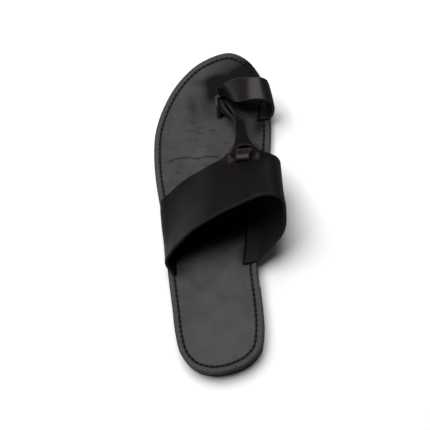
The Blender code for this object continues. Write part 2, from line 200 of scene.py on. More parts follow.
def buildLeatherGroup():
    # cloudy dye, pebbled grain, pores and a fine scuff, all on Object coordinates
    pattern = leatherPattern
    group = bpy.data.node_groups.new("dressedLeather", "ShaderNodeTree")
    sockets = (
        ("Dye", "Color", (0.05, 0.05, 0.05, 1.0)), ("Worn Dye", "Color", (0.08, 0.08, 0.08, 1.0)),
        ("Cloud Size", "Float", 60.0), ("Grain Size", "Float", 1100.0), ("Grain Depth", "Float", 0.3),
        ("Gloss Low", "Float", 0.40), ("Gloss High", "Float", 0.55),
    )
    for name, kind, value in sockets:
        made = group.interface.new_socket(name=name, in_out="INPUT", socket_type="NodeSocket" + kind)
        made.default_value = value
    for name, kind in (("Color", "Color"), ("Roughness", "Float"), ("Normal", "Vector")):
        group.interface.new_socket(name=name, in_out="OUTPUT", socket_type="NodeSocket" + kind)
    inside = addNode(group, "NodeGroupInput", (-1200, 0))
    outside = addNode(group, "NodeGroupOutput", (700, 0))
    place = addNode(group, "ShaderNodeTexCoord", (-1200, 300)).outputs["Object"]

    def textured(kind, scale, **settings):
        node = addNode(group, kind, **settings)
        group.links.new(place, node.inputs["Vector"])
        if isinstance(scale, bpy.types.NodeSocket):
            group.links.new(scale, node.inputs["Scale"])
        else:
            node.inputs["Scale"].default_value = scale
        return node

    def shared(first, firstShare, second, secondShare):
        return maths(group, "ADD", maths(group, "MULTIPLY", first, firstShare),
                     maths(group, "MULTIPLY", second, secondShare))

    given = inside.outputs
    cloud = textured("ShaderNodeTexNoise", given["Cloud Size"], Detail=4.0, Roughness=0.6).outputs["Fac"]
    speck = textured("ShaderNodeTexNoise", pattern["speck"], Detail=3.0, Roughness=0.7).outputs["Fac"]
    grain = textured("ShaderNodeTexVoronoi", given["Grain Size"], feature="SMOOTH_F1").outputs["Distance"]
    folds = textured("ShaderNodeTexNoise", pattern["folds"], Detail=5.0, Roughness=0.55, Distortion=0.6)
    folds = folds.outputs["Fac"]
    pores = textured("ShaderNodeTexVoronoi", pattern["pores"], feature="F1").outputs["Distance"]

    worn = shared(cloud, pattern["cloudShare"], speck, pattern["speckShare"])
    worn = scaledRange(group, worn, *pattern["worn"], 0.0, 1.0)
    color = mixColors(group, given["Dye"], given["Worn Dye"], worn)
    gloss = scaledRange(group, speck, *pattern["glossy"], given["Gloss Low"], given["Gloss High"])

    poreHeight = scaledRange(group, pores, 0.0, pattern["poreReach"], pattern["poreDepth"], 0.0)
    height = shared(grain, pattern["grainShare"], folds, pattern["foldShare"])
    height = maths(group, "MULTIPLY", maths(group, "ADD", height, poreHeight), given["Grain Depth"])
    bump = addNode(group, "ShaderNodeBump", Strength=1.0, Distance=pattern["bump"])
    group.links.new(height, bump.inputs["Height"])
    for made, name in ((color, "Color"), (gloss, "Roughness"), (bump.outputs["Normal"], "Normal")):
        group.links.new(made, outside.inputs[name])
    return group


leatherGroup = buildLeatherGroup()


def newMaterial(name, specular):
    material = bpy.data.materials.new(name)
    material.use_nodes = True
    shader = material.node_tree.nodes["Principled BSDF"]
    shader.inputs["Specular IOR Level"].default_value = specular
    return material, material.node_tree, shader


def layerMask(tree, name):
    return addNode(tree, "ShaderNodeAttribute", attribute_name=name).outputs["Fac"]


def useLeather(tree, shader, look):
    leather = addNode(tree, "ShaderNodeGroup", (-500, 0), node_tree=leatherGroup)
    values = {
        "Dye": look["dye"], "Worn Dye": look["worn"], "Cloud Size": look["cloudSize"],
        "Grain Size": look["grainSize"], "Grain Depth": look["grainDepth"],
        "Gloss Low": look["gloss"][0], "Gloss High": look["gloss"][1],
    }
    for name, value in values.items():
        leather.inputs[name].default_value = value
    shader.inputs["Specular Tint"].default_value = look["tint"]
    tree.links.new(leather.outputs["Roughness"], shader.inputs["Roughness"])
    tree.links.new(leather.outputs["Normal"], shader.inputs["Normal"])
    return leather


footbedLook = {
    "dye": (0.023, 0.0212, 0.0220, 1), "worn": (0.049, 0.0464, 0.0472, 1), "cloudSize": 60.0,
    "grainSize": 1300.0, "grainDepth": 0.5, "gloss": (0.40, 0.56), "specular": 0.12,
    "tint": (1.0, 0.96, 0.98, 1), "rim": (0.041, 0.0425, 0.0405, 1), "rimShare": 0.75,
    "fleck": (0.014, 0.0135, 0.013, 1), "fleckSize": 520.0,
    "burnishSlotShadeColor": (0.003, 0.003, 0.003, 1), "groove": (0.005, 0.0042, 0.0045, 1), "creaseShadeShare": 0.55,
    "shadeDark": (0.0048, 0.0038, 0.0052, 1), "shadeDull": 0.35, "lipHighlightHeelColor": (0.080, 0.076, 0.074, 1),
}


def footbedLeather(look):
    material, tree, shader = newMaterial("footbed leather", look["specular"])
    leather = useLeather(tree, shader, look)
    fleck = addNode(tree, "ShaderNodeTexNoise", Scale=look["fleckSize"], Detail=3.0, Roughness=0.6)
    tree.links.new(addNode(tree, "ShaderNodeTexCoord").outputs["Object"], fleck.inputs["Vector"])
    flecked = scaledRange(tree, fleck.outputs["Fac"], 0.54, 0.66, 0.0, 0.8)
    rim = mixColors(tree, look["rim"], look["fleck"], flecked)
    onRim = maths(tree, "MULTIPLY", layerMask(tree, "rim"), look["rimShare"])
    color = mixColors(tree, leather.outputs["Color"], rim, onRim)
    # painted shade and reflection: darker patches by the ring, the toe strap and the slots
    color = mixColors(tree, color, look["shadeDark"], layerMask(tree, "paintedShade"))
    # painted highlight on the toe slot's lip, and a lighter patch at the heel
    color = mixColors(tree, color, look["lipHighlightHeelColor"], layerMask(tree, "lipHighlightHeelLight"))
    shadeDark = layerMask(tree, "paintedShade")
    rough = maths(tree, "MULTIPLY_ADD", shadeDark, look["shadeDull"], leather.outputs["Roughness"])
    tree.links.new(rough, shader.inputs["Roughness"])
    # painted shade in the seam's groove and stitch holes
    color = mixColors(tree, color, look["groove"], layerMask(tree, "groove"))
    # painted shade in the creases
    creased = maths(tree, "MULTIPLY", layerMask(tree, "creaseShade"), look["creaseShadeShare"])
    color = mixColors(tree, color, look["groove"], creased)
    # burnished edges, and painted shade at the slots' mouths
    color = mixColors(tree, color, look["burnishSlotShadeColor"], layerMask(tree, "burnishSlotShade"))
    tree.links.new(color, shader.inputs["Base Color"])
    return material


def strapLeather(name, look):
    # black strap leather: the cut edge shows its lighter core, the back its flesh side
    material, tree, shader = newMaterial(name, look["specular"])
    leather = useLeather(tree, shader, look)
    fibre = addNode(tree, "ShaderNodeTexNoise", Scale=look["fibreSize"], Detail=4.0, Roughness=0.7)
    tree.links.new(addNode(tree, "ShaderNodeTexCoord").outputs["Object"], fibre.inputs["Vector"])
    flesh = mixColors(tree, look["flesh"], look["fleshLight"], fibre.outputs["Fac"])
    color = mixColors(tree, leather.outputs["Color"], flesh, layerMask(tree, "flesh"))
    core = mixColors(tree, look["core"], look["coreLight"], fibre.outputs["Fac"])
    color = mixColors(tree, color, core, layerMask(tree, "cutEdge"))
    # painted shade where the strap faces the inner side
    darkened = maths(tree, "MULTIPLY", layerMask(tree, "innerSideShade"), look["innerShade"])
    # painted shade low on the toe straps near their slot
    darkened = maths(tree, "MAXIMUM", layerMask(tree, "strapShade"), darkened)
    color = mixColors(tree, color, look["strapShade"], darkened)
    tree.links.new(color, shader.inputs["Base Color"])
    rough = maths(tree, "MAXIMUM", layerMask(tree, "flesh"), layerMask(tree, "cutEdge"))
    dulled = maths(tree, "MULTIPLY", layerMask(tree, "innerSideShade"), look["innerDull"])
    rough = maths(tree, "MAXIMUM", rough, dulled)
    rough = maths(tree, "MULTIPLY_ADD", rough, look["dullness"], leather.outputs["Roughness"])
    tree.links.new(rough, shader.inputs["Roughness"])
    return material


bandLook = {
    "dye": (0.0034, 0.0026, 0.0036, 1), "worn": (0.0056, 0.0044, 0.0058, 1), "cloudSize": 45.0,
    "grainSize": 1500.0, "grainDepth": 0.16, "gloss": (0.33, 0.42), "specular": 0.09,
    "tint": (1.0, 0.84, 0.98, 1),
    "fibreSize": 1500.0, "innerShade": 0.8, "innerDull": 1.6, "dullness": 0.30,
    "flesh": (0.0060, 0.0048, 0.0064, 1), "fleshLight": (0.0120, 0.0098, 0.0124, 1),
    "core": (0.0065, 0.0057, 0.0058, 1), "coreLight": (0.021, 0.0192, 0.0188, 1),
    "strapShade": (0.0016, 0.0012, 0.0016, 1),
}
ringLook = dict(bandLook, specular=0.17, gloss=(0.26, 0.34), tint=(1.0, 0.92, 0.99, 1))
liningLook = dict(bandLook, dye=(0.0036, 0.0029, 0.0038, 1), worn=(0.0070, 0.0060, 0.0070, 1), specular=0.19)


# the sole's side: dark and light of its dye, and its finish
outsoleLook = {
    "dark": (0.004, 0.0038, 0.0038, 1), "light": (0.013, 0.0125, 0.012, 1), "roughness": 0.6,
    "specular": 0.07, "lines": (60.0, 60.0, 1500.0), "dust": 700.0, "bump": 0.00025,
}
heelLook = dict(outsoleLook, dark=(0.003, 0.0028, 0.0028, 1), light=(0.0105, 0.0101, 0.0097, 1),
                roughness=0.65)


def edgeMaterial(name, look):
    # dyed and burnished layers of the sole's side, with fine lines along it
    material, tree, shader = newMaterial(name, look["specular"])
    place = addNode(tree, "ShaderNodeTexCoord").outputs["Object"]
    stretch = addNode(tree, "ShaderNodeMapping")
    stretch.inputs["Scale"].default_value = look["lines"]
    tree.links.new(place, stretch.inputs["Vector"])
    streaks = addNode(tree, "ShaderNodeTexNoise", Scale=1.0, Detail=5.0, Roughness=0.65)
    tree.links.new(stretch.outputs["Vector"], streaks.inputs["Vector"])
    dust = addNode(tree, "ShaderNodeTexNoise", Scale=look["dust"], Detail=4.0, Roughness=0.7)
    tree.links.new(place, dust.inputs["Vector"])
    lined = scaledRange(tree, streaks.outputs["Fac"], 0.35, 0.7, 0.0, 1.0)
    color = mixColors(tree, look["dark"], look["light"], lined)
    tree.links.new(color, shader.inputs["Base Color"])
    mean = look["roughness"]
    rough = scaledRange(tree, dust.outputs["Fac"], 0.3, 0.7, mean - 0.08, mean + 0.1)
    tree.links.new(rough, shader.inputs["Roughness"])
    lineHeight = maths(tree, "MULTIPLY", streaks.outputs["Fac"], 0.7)
    height = maths(tree, "ADD", lineHeight, maths(tree, "MULTIPLY", dust.outputs["Fac"], 0.5))
    bump = addNode(tree, "ShaderNodeBump", Strength=0.6, Distance=look["bump"])
    tree.links.new(height, bump.inputs["Height"])
    tree.links.new(bump.outputs["Normal"], shader.inputs["Normal"])
    return material


threadLook = {
    "dark": (0.004, 0.0036, 0.0038, 1), "light": (0.016, 0.0148, 0.0150, 1), "roughness": (0.55, 0.75),
    "specular": 0.15, "strands": 1600.0, "bump": 0.0001,
}


def threadMaterial(look):
    material, tree, shader = newMaterial("waxed thread", look["specular"])
    place = addNode(tree, "ShaderNodeTexCoord").outputs["Object"]
    strands = addNode(tree, "ShaderNodeTexNoise", Scale=look["strands"], Detail=3.0, Roughness=0.6)
    tree.links.new(place, strands.inputs["Vector"])
    color = mixColors(tree, look["dark"], look["light"], strands.outputs["Fac"])
    tree.links.new(color, shader.inputs["Base Color"])
    rough = scaledRange(tree, strands.outputs["Fac"], 0.3, 0.7, *look["roughness"])
    tree.links.new(rough, shader.inputs["Roughness"])
    bump = addNode(tree, "ShaderNodeBump", Strength=0.5, Distance=look["bump"])
    tree.links.new(strands.outputs["Fac"], bump.inputs["Height"])
    tree.links.new(bump.outputs["Normal"], shader.inputs["Normal"])
    return material


footbedMaterial = footbedLeather(footbedLook)
bandMaterial = strapLeather("black strap leather", bandLook)
ringMaterial = strapLeather("black ring leather", ringLook)
liningMaterial = strapLeather("black lining leather", liningLook)
outsoleMaterial = edgeMaterial("outsole edge", outsoleLook)
heelMaterial = edgeMaterial("heel lifts", heelLook)
thread = threadMaterial(threadLook)
print("materials made")

# what all the straps share, in metres; their slots and folds are those of the part's source
straps = {
    "thickness": 0.0022, "slotPlay": 0.0004, "bendSteps": 4, "edgeRound": 0.0005, "edgeAngles": (60, 30, 0),
    "coreReach": 0.0004, "skived": 0.0008, "skiveReach": 0.0070, "merge": 0.0000005, "innerSoft": 0.3,
}

# a slot's back and front corner: shares of the ball width and of the length
slots = {
    "bandInner": (0.241, 0.317, 0.316, 0.549), "bandOuter": (-0.348, 0.299, -0.393, 0.529),
    "ringInner": (0.412, 0.771, 0.432, 0.824), "ringToe": (0.090, 0.857, 0.081, 0.884),
    "strapToe": (0.111, 0.796, 0.102, 0.850),
}

# folds of a strap: back edge x, y and height, front edge x, y and height
bandRows = [
    (0.350, 0.324, 0.04, 0.407, 0.553, 0.04), (0.415, 0.339, 0.12, 0.469, 0.565, 0.08),
    (0.506, 0.359, 0.26, 0.529, 0.581, 0.17), (0.563, 0.375, 0.37, 0.560, 0.594, 0.26),
    (0.601, 0.394, 0.52, 0.575, 0.604, 0.35), (0.617, 0.419, 0.70, 0.565, 0.611, 0.41),
    (0.617, 0.441, 0.86, 0.545, 0.616, 0.45), (0.583, 0.453, 0.97, 0.512, 0.620, 0.49),
    (0.477, 0.459, 1.03, 0.450, 0.625, 0.53), (0.354, 0.450, 0.99, 0.362, 0.627, 0.56),
    (0.227, 0.436, 0.93, 0.260, 0.625, 0.56), (0.101, 0.423, 0.85, 0.153, 0.619, 0.54),
    (-0.029, 0.406, 0.76, 0.028, 0.605, 0.48), (-0.164, 0.386, 0.62, -0.102, 0.589, 0.39),
    (-0.275, 0.362, 0.46, -0.226, 0.574, 0.30), (-0.353, 0.341, 0.33, -0.328, 0.555, 0.19),
    (-0.400, 0.322, 0.19, -0.405, 0.539, 0.10),
]
ringRows = [
    (0.478, 0.770, 0.08, 0.481, 0.827, 0.08), (0.511, 0.771, 0.20, 0.504, 0.834, 0.18),
    (0.533, 0.773, 0.42, 0.513, 0.842, 0.36), (0.547, 0.777, 0.66, 0.514, 0.849, 0.58),
    (0.544, 0.782, 0.84, 0.507, 0.856, 0.78), (0.520, 0.788, 0.96, 0.490, 0.862, 0.93),
    (0.469, 0.793, 1.02, 0.450, 0.866, 1.01), (0.385, 0.796, 1.01, 0.382, 0.869, 1.01),
    (0.315, 0.798, 0.93, 0.311, 0.875, 0.92), (0.260, 0.801, 0.80, 0.243, 0.880, 0.77),
    (0.218, 0.813, 0.62, 0.181, 0.883, 0.58), (0.172, 0.834, 0.40, 0.131, 0.884, 0.38),
    (0.124, 0.852, 0.18, 0.097, 0.883, 0.18),
]
# the toe strap: left edge, right edge, and how far its lower layer falls away
toeRows = [
    (0.188, 0.626, 1.04, 0.410, 0.632, 1.03, 0.0), (0.203, 0.643, 1.02, 0.380, 0.647, 1.01, 0.0),
    (0.220, 0.668, 0.96, 0.346, 0.668, 0.95, 0.2), (0.223, 0.692, 0.89, 0.327, 0.689, 0.88, 0.2),
    (0.221, 0.714, 0.82, 0.315, 0.711, 0.80, 0.2), (0.219, 0.734, 0.75, 0.306, 0.731, 0.71, 0.2),
    (0.214, 0.753, 0.67, 0.296, 0.750, 0.61, 0.3), (0.201, 0.775, 0.59, 0.273, 0.767, 0.47, 0.6),
    (0.180, 0.796, 0.48, 0.226, 0.780, 0.31, 1.0), (0.149, 0.818, 0.33, 0.172, 0.791, 0.18, 1.0),
    (0.121, 0.838, 0.14, 0.126, 0.797, 0.12, 0.4),
]
tongue = {"width": 0.0100, "rise": 0.0038, "tail": 0.0036}
# the tongue: shares of the setback ahead of the slit and of its rise
tongueRows = [
    (1.60, -0.36), (1.38, -0.30), (1.24, 0.24), (1.09, 0.75), (0.80, 0.95), (0.50, 1.00),
    (0.24, 0.90), (0.05, 0.62), (0.00, 0.25),
]


def tailEnd(mouth):
    y = mouth.y - sole["toOrigin"].y
    return Vector((mouth.x, mouth.y, footbedBottom(y) + sole["tailLift"]))


def slotMouths(name):
    backX, backY, frontX, frontY = slots[name]
    return onSole(backX, backY), onSole(frontX, frontY)


def slotRoute(mouth, side, turn):
    radius = straps["thickness"] / 2 + straps["slotPlay"]
    route = [tailEnd(mouth)]
    for step in range(straps["bendSteps"] + 1):
        angle = math.radians(turn) * step / straps["bendSteps"]
        route.append(mouth + Vector((side * radius * (1 - math.cos(angle)), 0, radius * math.sin(angle))))
    return route


def strapEdges(rows, height, firstSlot, firstTurn, lastSlot, lastSide, lastTurn, steps):
    back = [onSole(row[0], row[1], row[2] * height) for row in rows]
    front = [onSole(row[3], row[4], row[5] * height) for row in rows]
    edges = []
    for middle, first, last in zip((back, front), slotMouths(firstSlot), slotMouths(lastSlot)):
        leaving = slotRoute(first, 1, firstTurn)
        arriving = slotRoute(last, lastSide, lastTurn)
        free = leaving[1:] + middle + arriving[:0:-1]
        edges.append([leaving[0]] + smoothPath(free, steps) + [arriving[0]])
    return edges


def sheetNormals(middle):
    along = np.gradient(middle, axis=0)
    over = np.gradient(middle, axis=1)
    normal = np.cross(over, along)
    return normal / np.maximum(np.linalg.norm(normal, axis=2, keepdims=True), 1e-12), over


def leatherStrip(name, left, right, across, material, nodes, slotName, relief=None, skived=False):
    # a grid laid round the strap's section: face, rounded cut edge, flesh side, cut edge
    half = straps["thickness"] / 2
    radius = straps["edgeRound"]
    left = np.array([tuple(point) for point in left])
    right = np.array([tuple(point) for point in right])
    aside = right - left
    aside /= np.linalg.norm(aside, axis=1, keepdims=True)
    shares = np.linspace(0, 1, across + 1)[None, :, None]
    middle = (left + aside * radius)[:, None] * (1 - shares) + (right - aside * radius)[:, None] * shares
    if relief:
        normal, over = sheetNormals(middle)
        middle = relief(middle, normal)
    normal, over = sheetNormals(middle)
    over = over / np.linalg.norm(over, axis=2, keepdims=True)

    # the section's places: column, outward, up, and 0 on the face, 0.5 on the cut edge, 1 on the flesh side
    corner = [math.radians(angle) for angle in straps["edgeAngles"]]
    arc = [(radius * math.cos(a), half - radius + radius * math.sin(a)) for a in corner]
    section = [(column, 0.0, half, 0.0) for column in range(across + 1)]
    section += [(across, outward, up, 0.5) for outward, up in arc]
    section += [(across, outward, -up, 0.5) for outward, up in reversed(arc)]
    section += [(column, 0.0, -half, 1.0) for column in range(across, -1, -1)]
    section += [(0, -outward, -up, 0.5) for outward, up in arc]
    section += [(0, -outward, up, 0.5) for outward, up in reversed(arc)]

    # a skived start is thinned from the flesh side and rounded at its end
    rings = []
    stations = [(index, 0.0, 1.0) for index in range(len(left))]
    thin = np.zeros(len(left))
    if skived:
        steps = np.linalg.norm(np.diff(middle[:, across // 2], axis=0), axis=1)
        run = np.concatenate([[0], np.cumsum(steps)])
        thin = np.clip(1 - run / straps["skiveReach"], 0, 1) ** 1.3 * (straps["thickness"] - straps["skived"])
        stations = [(0, straps["skived"] / 2 * math.cos(a), math.sin(a)) for a in reversed(corner)] + stations
    ahead = np.gradient(middle, axis=0)
    for index, shift, squeeze in stations:
        ring = []
        centre = thin[index] / 2
        for column, outward, up, side in section:
            way = ahead[index, column] / np.linalg.norm(ahead[index, column])
            place = middle[index, column] + over[index, column] * outward
            lift = centre + up * (half - centre) / half * squeeze
            ring.append(place + normal[index, column] * lift - way * shift)
        rings.append(ring)
    rings = np.array(rings)

    width = np.linalg.norm(np.diff(middle, axis=1), axis=2).sum(axis=1)
    bm = bmesh.new()
    cutEdge = bm.verts.layers.float.new("cutEdge")
    flesh = bm.verts.layers.float.new("flesh")
    rows = len(rings)
    around = len(section)
    bmesh.ops.create_grid(bm, x_segments=rows - 1, y_segments=around, size=0.5)
    extra = rows - len(left)
    for vert in bm.verts:
        row = round((vert.co.x + 0.5) * (rows - 1))
        step = round((vert.co.y + 0.5) * around) % around
        column, outward, up, side = section[step]
        vert.co = rings[row, step]
        station = max(0, row - extra)
        away = min(column, across - column) / across * width[station]
        nearness = 1.0 if outward else max(0.0, 1.0 - away / straps["coreReach"])
        if row < extra:
            nearness = 0.8
        vert[cutEdge] = nearness ** 1.5
        vert[flesh] = side
    bmesh.ops.remove_doubles(bm, verts=bm.verts, dist=straps["merge"])
    bmesh.ops.holes_fill(bm, edges=[edge for edge in bm.edges if edge.is_boundary], sides=0)
    bmesh.ops.recalc_face_normals(bm, faces=bm.faces)
    return addPiece(name, bm, material, nodes)


def boxTool(name, middle, axes, sizes, bevel):
    bm = bmesh.new()
    bmesh.ops.create_cube(bm, size=1.0)
    bmesh.ops.scale(bm, verts=bm.verts, vec=sizes)
    upright = [edge for edge in bm.edges if abs((edge.verts[0].co - edge.verts[1].co).z) > sizes[2] / 2]
    bmesh.ops.bevel(bm, geom=upright, offset=bevel, segments=4, profile=0.5, affect="EDGES", material=-1)
    turn = Matrix((axes[0], axes[1], axes[2])).transposed()
    bmesh.ops.transform(bm, matrix=Matrix.Translation(middle) @ turn.to_4x4(), verts=bm.verts)
    bm.normal_update()
    bmesh.ops.recalc_face_normals(bm, faces=bm.faces)
    mesh = bpy.data.meshes.new(name)
    bm.to_mesh(mesh)
    bm.free()
    tool = bpy.data.objects.new(name, mesh)
    bpy.context.scene.collection.objects.link(tool)
    return tool


def cutWith(piece, tools):
    for tool in tools:
        cut = piece.modifiers.new("cut", "BOOLEAN")
        cut.operation = "DIFFERENCE"
        cut.solver = "EXACT"
        cut.object = tool
    evaluated = piece.evaluated_get(bpy.context.evaluated_depsgraph_get())
    mesh = bpy.data.meshes.new_from_object(evaluated)
    piece.modifiers.clear()
    piece.data = mesh
    for tool in tools:
        bpy.data.objects.remove(tool)
    return piece


def slitFrame(back, front):
    middleX = (toeRows[0][0] + toeRows[0][3]) / 2 * sole["ballWidth"] + sole["toOrigin"].x
    raised = [pair for pair in zip(back, front)
              if pair[1].z > footbedTop(pair[1].y - sole["toOrigin"].y) + bandShape["height"] / 4]
    index = min(range(len(raised)), key=lambda item: abs(raised[item][1].x - middleX))
    backPoint, frontPoint = raised[index]
    forward = (frontPoint - backPoint).normalized()
    acrossWay = (raised[index - 1][1] - raised[index + 1][1]).normalized()
    up = acrossWay.cross(forward).normalized()
    return frontPoint - forward * bandShape["slitSetback"], forward, forward.cross(up), up


def softNoise(places, scale, seed):
    shift = Vector((seed, seed * 1.7, seed * 0.6))
    flat = places.reshape(-1, 3)
    values = np.array([noise.noise(Vector(place) * scale + shift) for place in flat])
    return values.reshape(places.shape[:-1])


# the band: sag is how far its outer side is moved, in x, y and z
bandShape = {
    "height": 0.0500, "innerTurn": 90, "outerTurn": 50, "steps": 9, "columns": 54, "innerFrom": 0.20,
    "slitSetback": 0.0088, "slitPlay": 0.0006, "slitRound": 0.0008, "slitWalls": 6,
    "pinchDepth": 0.0010, "pinchWidth": 0.0056, "pinchBack": 0.004, "pinchReach": 0.0128, "tongueLevel": 0.02,
    "bulge": 0.0030, "bulgeAt": 0.0108, "bulgeWidth": 0.0034, "bulgeBack": 0.0026, "bulgeReach": 0.0042,
    "wave": 0.00035, "waveScale": 55.0, "sag": (-0.0036, -0.0030, 0.0010), "sagFrom": -0.015,
    "sagSoft": 0.010, "sagRise": 0.0030, "sagTop": 0.019, "sagFade": 1.3, "sagAlong": 0.33, "sagSpan": 0.17,
}
bandBack, bandFront = strapEdges(bandRows, bandShape["height"], "bandInner", bandShape["innerTurn"],
                                 "bandOuter", -1, bandShape["outerTurn"], bandShape["steps"])
slit = slitFrame(bandBack, bandFront)


def outerSag(middle):
    # the worn outer side hangs out over the sole's rim, most at the front edge
    along = middle[:, :, 1] - sole["toOrigin"].y
    above = middle[:, :, 2] - np.array([[footbedTop(y) for y in row] for row in along])
    outer = np.clip((bandShape["sagFrom"] - middle[:, :, 0]) / bandShape["sagSoft"], 0, 1)
    below = np.clip((bandShape["sagTop"] - above) / bandShape["sagTop"] * bandShape["sagFade"], 0, 1)
    sag = np.clip(above / bandShape["sagRise"], 0, 1) * below
    ahead = np.clip((along / sole["length"] - bandShape["sagAlong"]) / bandShape["sagSpan"], 0, 1)
    sag = outer * sag ** 2 * (3 - 2 * sag) * ahead
    return np.array(bandShape["sag"]) * sag[:, :, None]


def bandRelief(middle, normal):
    # the tongue draws the front edge down, and the leather stands up a little on each side of it
    spot, forward, side, up = (np.array(tuple(item)) for item in slit)
    offset = middle - spot
    ahead = offset @ forward
    beside = offset @ side
    level = np.exp(-((offset @ up) / bandShape["tongueLevel"]) ** 2)
    near = np.clip((ahead + bandShape["pinchBack"]) / bandShape["pinchReach"], 0, 1) ** 1.5
    height = -bandShape["pinchDepth"] * np.exp(-(beside / bandShape["pinchWidth"]) ** 2) * near
    fromBulge = ahead - bandShape["slitSetback"] + bandShape["bulgeBack"]
    swell = np.exp(-(fromBulge / bandShape["bulgeReach"]) ** 2)
    humps = np.exp(-((np.abs(beside) - bandShape["bulgeAt"]) / bandShape["bulgeWidth"]) ** 2)
    height += bandShape["bulge"] * swell * humps
    height = height * level + bandShape["wave"] * softNoise(middle, bandShape["waveScale"], 3.0)
    return middle + normal * height[:, :, None] + outerSag(middle)


def shadeNearFootbed(piece):
    # painted shade: the straps are darker the lower they come down towards the footbed at the toe slot
    places = positions(piece.data)
    level = np.array([footbedTop(y) for y in places[:, 1] - sole["toOrigin"].y])
    fade = (places[:, 2] - level) / toeStrapShape["strapShadeReach"]
    setLayer(piece.data, "strapShade", np.clip(toeStrapShape["strapShade"] - fade, 0, 1))


def shadeInnerSide(piece, start):
    # darker and duller where the strap faces the inner side, to match the photograph's tones there
    facing = np.zeros(len(piece.data.vertices) * 3, np.float32)
    piece.data.vertices.foreach_get("normal", facing)
    # painted shade on the side facing the inner side of the foot
    inward = (facing.reshape(-1, 3)[:, 0] - start) / straps["innerSoft"]
    setLayer(piece.data, "innerSideShade", np.clip(inward, 0, 1))


def cutSlit(piece):
    spot, forward, side, up = slit
    play = 2 * bandShape["slitPlay"]
    wall = straps["thickness"]
    size = (tongue["width"] + play, wall + play, wall * bandShape["slitWalls"])
    cutWith(piece, [boxTool("tongue slit", spot, (side, forward, up), size, bandShape["slitRound"])])


band = leatherStrip("instep_band_leather", bandBack, bandFront, bandShape["columns"], bandMaterial,
                    ["instep_band"], "strap_leather", bandRelief)
cutSlit(band)
shadeInnerSide(band, bandShape["innerFrom"])
print("band made", len(band.data.polygons))

ringShape = {
    "height": 0.0250, "innerTurn": 90, "toeTurn": 20, "steps": 8, "columns": 26, "innerFrom": 0.10,
    "wave": 0.00022, "waveScale": 90.0,
}
ringBack, ringFront = strapEdges(ringRows, ringShape["height"], "ringInner", ringShape["innerTurn"],
                                 "ringToe", 1, ringShape["toeTurn"], ringShape["steps"])


def ringRelief(middle, normal):
    wave = ringShape["wave"] * softNoise(middle, ringShape["waveScale"], 8.0)
    return middle + normal * wave[:, :, None]


ring = leatherStrip("toe_ring_leather", ringBack, ringFront, ringShape["columns"], ringMaterial,
                    ["toe_ring"], "strap_leather", ringRelief)
shadeInnerSide(ring, ringShape["innerFrom"])
print("ring made", len(ring.data.polygons))

# the toe strap; its arch is a little shallower than in the part's source
toeStrapShape = {
    "height": 0.0280, "steps": 8, "columns": 22, "flareArch": 0.0040, "flareLift": 0.0024, "flareRings": 16,
    "slotJoin": 0.0014, "strapShade": 1.15, "strapShadeReach": 0.0110,
}


def toeStrapLines():
    back, front = slotMouths("strapToe")
    height = toeStrapShape["height"]
    left = [onSole(row[0], row[1], row[2] * height) for row in toeRows] + [front]
    right = [onSole(row[3], row[4], row[5] * height) for row in toeRows] + [back]
    return left, right, tailEnd(front), tailEnd(back)


def arched(middle, normal):
    # the flared end is cut in a hollow arch
    count = toeStrapShape["flareRings"]
    columns = middle.shape[1]
    centre = columns // 2
    forward = middle[count, centre] - middle[0, centre]
    forward /= np.linalg.norm(forward)
    beside = np.linspace(-1, 1, columns)
    fade = np.clip(1 - np.arange(middle.shape[0]) / count, 0, 1)
    bow = (1 - beside ** 2)[None, :] * fade[:, None]
    middle = middle + forward * (toeStrapShape["flareArch"] * bow)[:, :, None]
    return middle + (0, 0, 1) * (toeStrapShape["flareLift"] * bow * fade[:, None])[:, :, None]


toeLeft, toeRight, leftTail, rightTail = toeStrapLines()
upperLeft = smoothPath(toeLeft, toeStrapShape["steps"]) + [leftTail]
upperRight = smoothPath(toeRight, toeStrapShape["steps"]) + [rightTail]
strap = leatherStrip("toe_strap_leather", upperLeft, upperRight, toeStrapShape["columns"], bandMaterial,
                     ["toe_strap"], "strap_leather", arched, skived=True)
shadeNearFootbed(strap)

# the lining: its first rows are the tongue, and the strap's own rows follow from underStrap on
liningShape = {"steps": 8, "columns": 16, "layerSpread": 0.0014, "underStrap": 2, "fullWidth": 8}


def liningEdges():
    spot, forward, side, up = slit
    half = side * tongue["width"] / 2
    lines = []
    for ahead, rise in [(0.0, -tongue["tail"] / tongue["rise"])] + tongueRows[::-1]:
        point = spot + forward * ahead * bandShape["slitSetback"] + up * rise * tongue["rise"]
        lines.append((point - half, point + half))
    count = len(toeLeft)
    for index in range(liningShape["underStrap"], count):
        before = max(0, index - 1)
        after = min(count - 1, index + 1)
        along = (toeLeft[after] + toeRight[after]) - (toeLeft[before] + toeRight[before])
        normal = (toeRight[index] - toeLeft[index]).cross(along).normalized()
        spread = toeRows[index][6] if index < len(toeRows) else 0.0
        apart = straps["thickness"] + sole["gap"] + liningShape["layerSpread"] * spread
        middle = (toeLeft[index] + toeRight[index]) / 2 - normal * apart
        reach = (toeRight[index] - toeLeft[index]) / 2
        if index < liningShape["fullWidth"]:
            reach *= min(1.0, tongue["width"] / 2 / reach.length)
        lines.append((middle - reach, middle + reach))
    lowLeft = smoothPath([line[0] for line in lines], liningShape["steps"])
    lowRight = smoothPath([line[1] for line in lines], liningShape["steps"])
    lowLeft.append(Vector((lowLeft[-1].x, lowLeft[-1].y, leftTail.z)))
    lowRight.append(Vector((lowRight[-1].x, lowRight[-1].y, rightTail.z)))
    return lowLeft, lowRight


lining = leatherStrip("toe_strap_lining_leather", *liningEdges(), liningShape["columns"], liningMaterial,
                      ["toe_strap_lining"], "lining_leather")
shadeNearFootbed(lining)
print("toe straps made")

